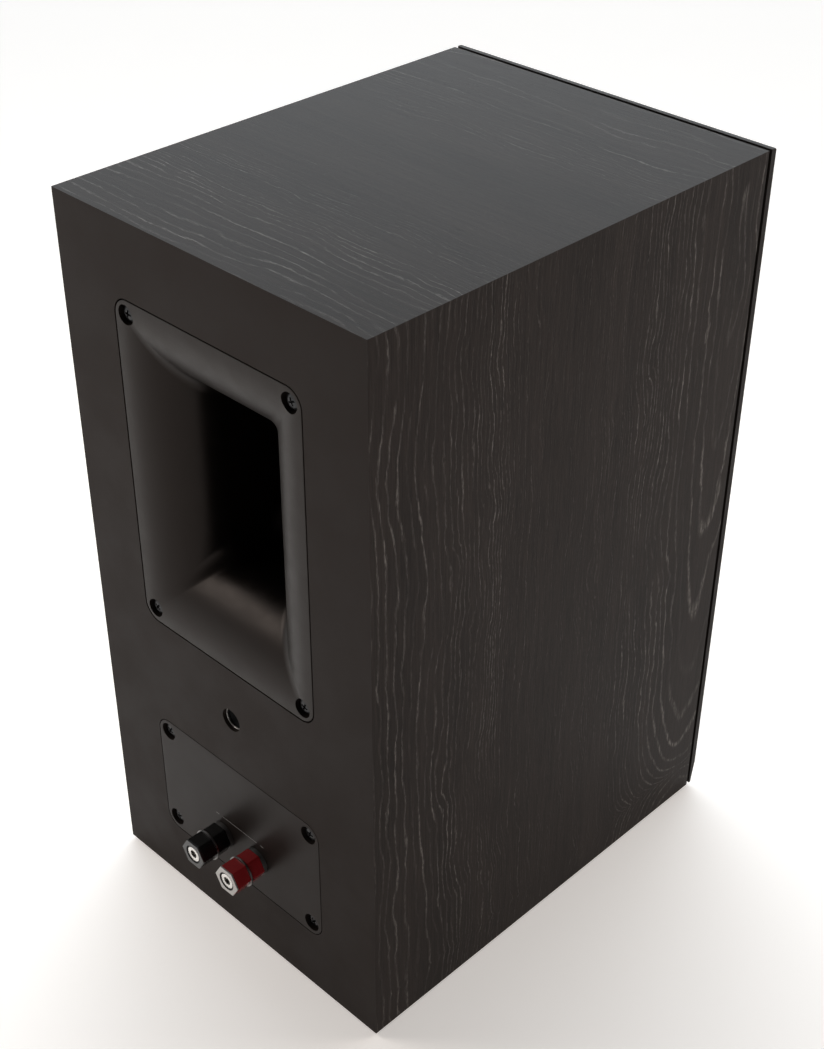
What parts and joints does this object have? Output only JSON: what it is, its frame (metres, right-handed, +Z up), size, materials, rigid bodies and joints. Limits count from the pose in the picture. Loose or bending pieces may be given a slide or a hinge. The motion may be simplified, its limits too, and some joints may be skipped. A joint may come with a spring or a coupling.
{
  "type": "bookshelf speaker",
  "caption": "Two-way bookshelf speaker: wooden cabinet with a flared rear port, binding posts, a horn-loaded dome tweeter and a cone woofer.",
  "frame": {"origin": "on the surface that the feet stand on, under the centre of the bounding box: midway between the sides, and midway between the front face and the ends of the binding posts", "axes": "+Z up, the front baffle faces -Y, the terminals and the port face +Y, +X to the right seen from the front"},
  "size_m": [0.1814, 0.2584, 0.362],
  "materials": {
    "wood_black": "open-pored black-stained grain, satin",
    "rear_satin": "warm dark satin paint on board",
    "baffle_satin": "satin black paint",
    "board_raw": "raw fibreboard",
    "felt_grey": "soft matt wadding",
    "rubber_black": "matt",
    "plastic_port": "fine-textured satin moulding",
    "plastic_plate": "semi-gloss moulding",
    "foam_grey": "matt foam",
    "screw_black": "black oxide, slightly glossy",
    "steel_zinc": "zinc plated",
    "nickel": "bright plated",
    "gunmetal": "dark plated",
    "knob_black": "polished",
    "knob_red": "polished, deep red",
    "collar_grey": "satin",
    "brass_plain": "tinned brass",
    "circuit_board": "solder-masked glass-fibre board",
    "copper": "enamelled copper winding",
    "film_blue": "wrapped film",
    "ceramic": "cement",
    "wire_sleeve": "flexible insulation",
    "basket_grey": "powder coat",
    "cone_graphite": "spun, anodised",
    "cloth_tan": "resin-dipped cloth",
    "ferrite": "sintered ferrite",
    "horn_black": "fine-textured satin moulding",
    "dome_metal": "satin metal dome"
  },
  "bodies": {
    "root": {"top_panel": "wood_black", "bottom_panel": "wood_black", "left_panel": "wood_black", "right_panel": "wood_black", "rear_panel": "rear_satin", "front_baffle": "baffle_satin", "internal_brace": "board_raw", "acoustic_lining": "felt_grey", "rubber_feet": "rubber_black", "port_flare": "plastic_port", "port_tube": "plastic_port", "port_gasket": "foam_grey", "port_screws": "screw_black", "terminal_plate": "plastic_plate", "terminal_gasket": "foam_grey", "terminal_screws": "screw_black", "wall_mount_insert": "nickel", "post_collars": "collar_grey", "black_post": "nickel", "red_post": "nickel", "black_post_base": "knob_black", "red_post_base": "knob_red", "post_nuts": "brass_plain", "solder_tags": "brass_plain", "crossover_board": "circuit_board", "crossover_spacers": "ceramic", "crossover_screws": "steel_zinc", "woofer_inductor": "copper", "tweeter_inductor": "copper", "capacitors": "film_blue", "resistors": "ceramic", "input_wires": "wire_sleeve", "woofer_wires": "wire_sleeve", "tweeter_wires": "wire_sleeve", "woofer_basket": "basket_grey", "woofer_trim_ring": "horn_black", "driver_gaskets": "foam_grey", "woofer_top_plate": "steel_zinc", "woofer_magnet": "ferrite", "woofer_yoke": "steel_zinc", "woofer_screws": "screw_black", "horn": "horn_black", "horn_screws": "screw_black", "tweeter_top_plate": "steel_zinc", "tweeter_magnet": "ferrite", "tweeter_yoke": "steel_zinc"},
    "black_washer": {"black_clamp_washer": "nickel"},
    "red_washer": {"red_clamp_washer": "nickel"},
    "black_knob_turner": {"black_knob": "knob_black", "black_knob_core": "gunmetal"},
    "red_knob_turner": {"red_knob": "knob_red", "red_knob_core": "nickel"},
    "woofer_moving": {"woofer_cone": "cone_graphite", "dust_cap": "cone_graphite", "woofer_voice_coil": "copper", "woofer_spider": "cloth_tan", "woofer_surround": "rubber_black"},
    "tweeter_moving": {"tweeter_dome": "dome_metal", "tweeter_voice_coil": "copper", "tweeter_surround": "rubber_black"}
  },
  "joints": [
    {"name": "black_washer_travel", "type": "slide", "parent": "root", "child": "black_washer", "axis": [0, 1, 0], "range_m": [0, 0.005]},
    {"name": "black_knob_turn", "type": "hinge", "parent": "black_washer", "child": "black_knob_turner", "pos_m": [0.0121, 0.1241, 0.0575], "axis": [0, 1, 0], "range_deg": [0, 1800]},
    {"name": "red_washer_travel", "type": "slide", "parent": "root", "child": "red_washer", "axis": [0, 1, 0], "range_m": [0, 0.005]},
    {"name": "red_knob_turn", "type": "hinge", "parent": "red_washer", "child": "red_knob_turner", "pos_m": [-0.0121, 0.1241, 0.0575], "axis": [0, 1, 0], "range_deg": [0, 1800]},
    {"name": "woofer_stroke", "type": "slide", "parent": "root", "child": "woofer_moving", "axis": [0, -1, 0], "range_m": [-0.004, 0.004], "stiffness_N_per_m": 1250, "deforming": ["woofer_surround", "woofer_spider"]},
    {"name": "tweeter_stroke", "type": "slide", "parent": "root", "child": "tweeter_moving", "axis": [0, -1, 0], "range_m": [-0.0004, 0.0004], "stiffness_N_per_m": 2000, "deforming": ["tweeter_surround"]}
  ],
  "couplings": [
    {"joint": "black_knob_turn", "follows": "black_washer_travel", "rad_per_m": 6283},
    {"joint": "red_knob_turn", "follows": "red_washer_travel", "rad_per_m": 6283}
  ]
}
